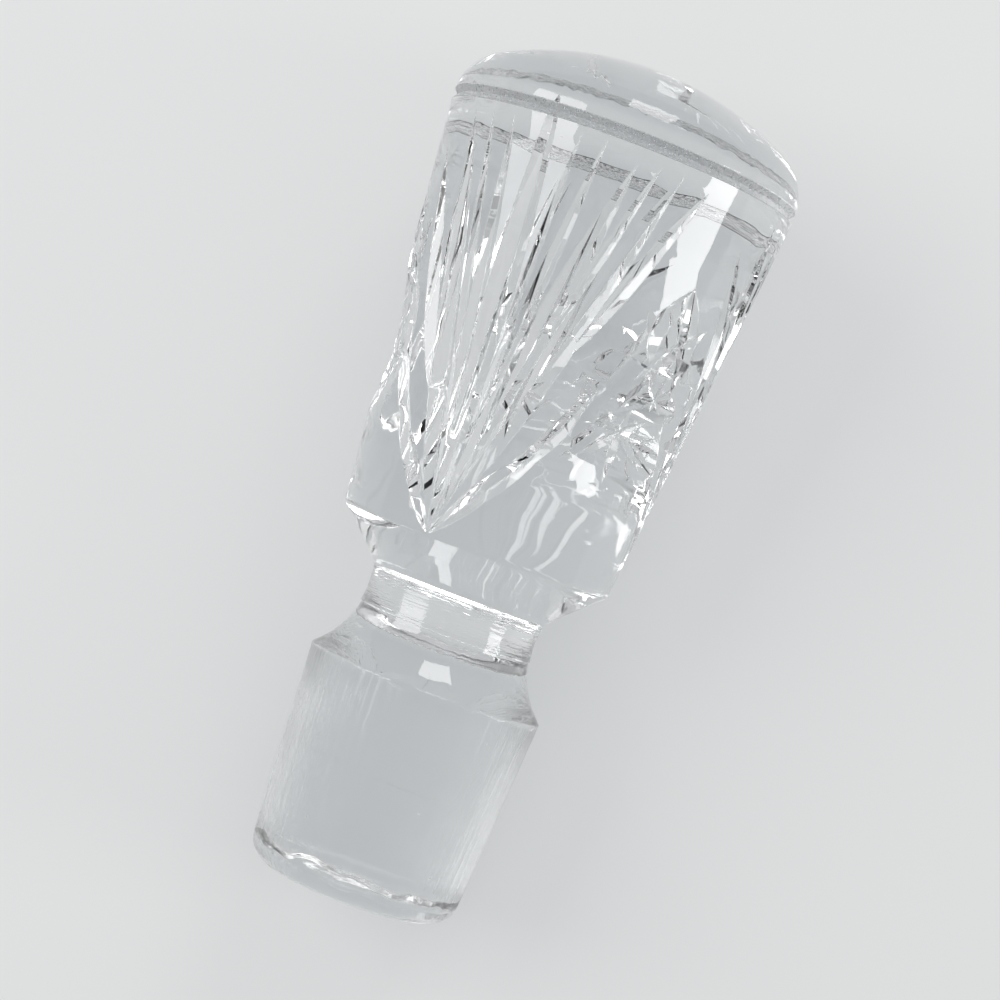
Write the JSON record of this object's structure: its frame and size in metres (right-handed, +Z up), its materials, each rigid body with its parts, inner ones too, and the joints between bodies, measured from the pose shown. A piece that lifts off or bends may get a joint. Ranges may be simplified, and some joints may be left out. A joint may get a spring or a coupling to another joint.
{
  "type": "glass decanter stopper",
  "caption": "Solid cut-glass decanter stopper: ground tapered plug, short neck, conical head with fans of mitre cuts, and a smooth domed crown.",
  "frame": {"origin": "on the table plane, below the centre of the stopper's bounding box", "axes": "+Z up; the stopper lies on its side with its head towards +Y and its plug towards -Y"},
  "size_m": [0.0398, 0.0968, 0.0398],
  "materials": {
    "glass": "polished, with a ground plug"
  },
  "bodies": {
    "root": {"stopper": "glass"}
  },
  "joints": []
}
